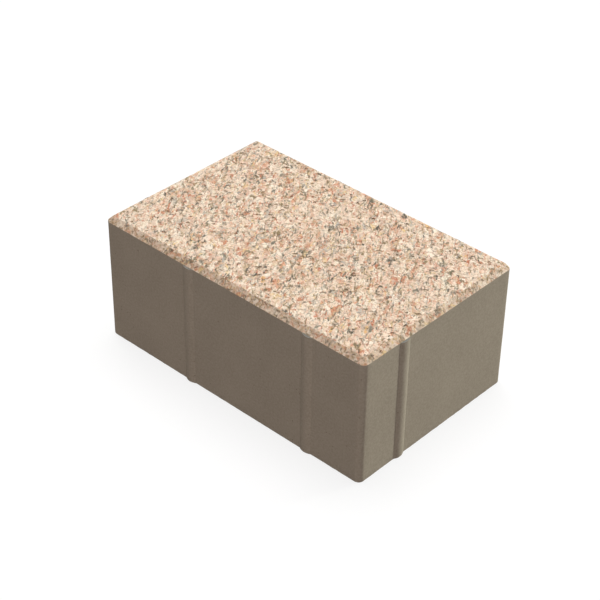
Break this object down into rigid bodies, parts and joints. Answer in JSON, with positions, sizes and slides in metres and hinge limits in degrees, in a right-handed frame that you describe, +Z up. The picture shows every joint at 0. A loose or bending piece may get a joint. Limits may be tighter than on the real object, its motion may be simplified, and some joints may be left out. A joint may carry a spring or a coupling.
{
  "type": "concrete paver",
  "caption": "Rectangular concrete paver with a bevelled granite-chip wearing face, rounded upright corners and round spacer ribs on its plain grey sides",
  "frame": {"origin": "middle of the flat underside, on the bed that the paver lies on", "axes": "+X along the paver's length, +Y across it from front to back, +Z up through the wearing face"},
  "size_m": [0.1924, 0.1224, 0.08],
  "materials": {
    "concrete": "matte cast concrete, with a washed face of fine cream, peach, terracotta and dark granite chips on the top and its bevel"
  },
  "bodies": {
    "root": {"paver": "concrete"}
  },
  "joints": []
}
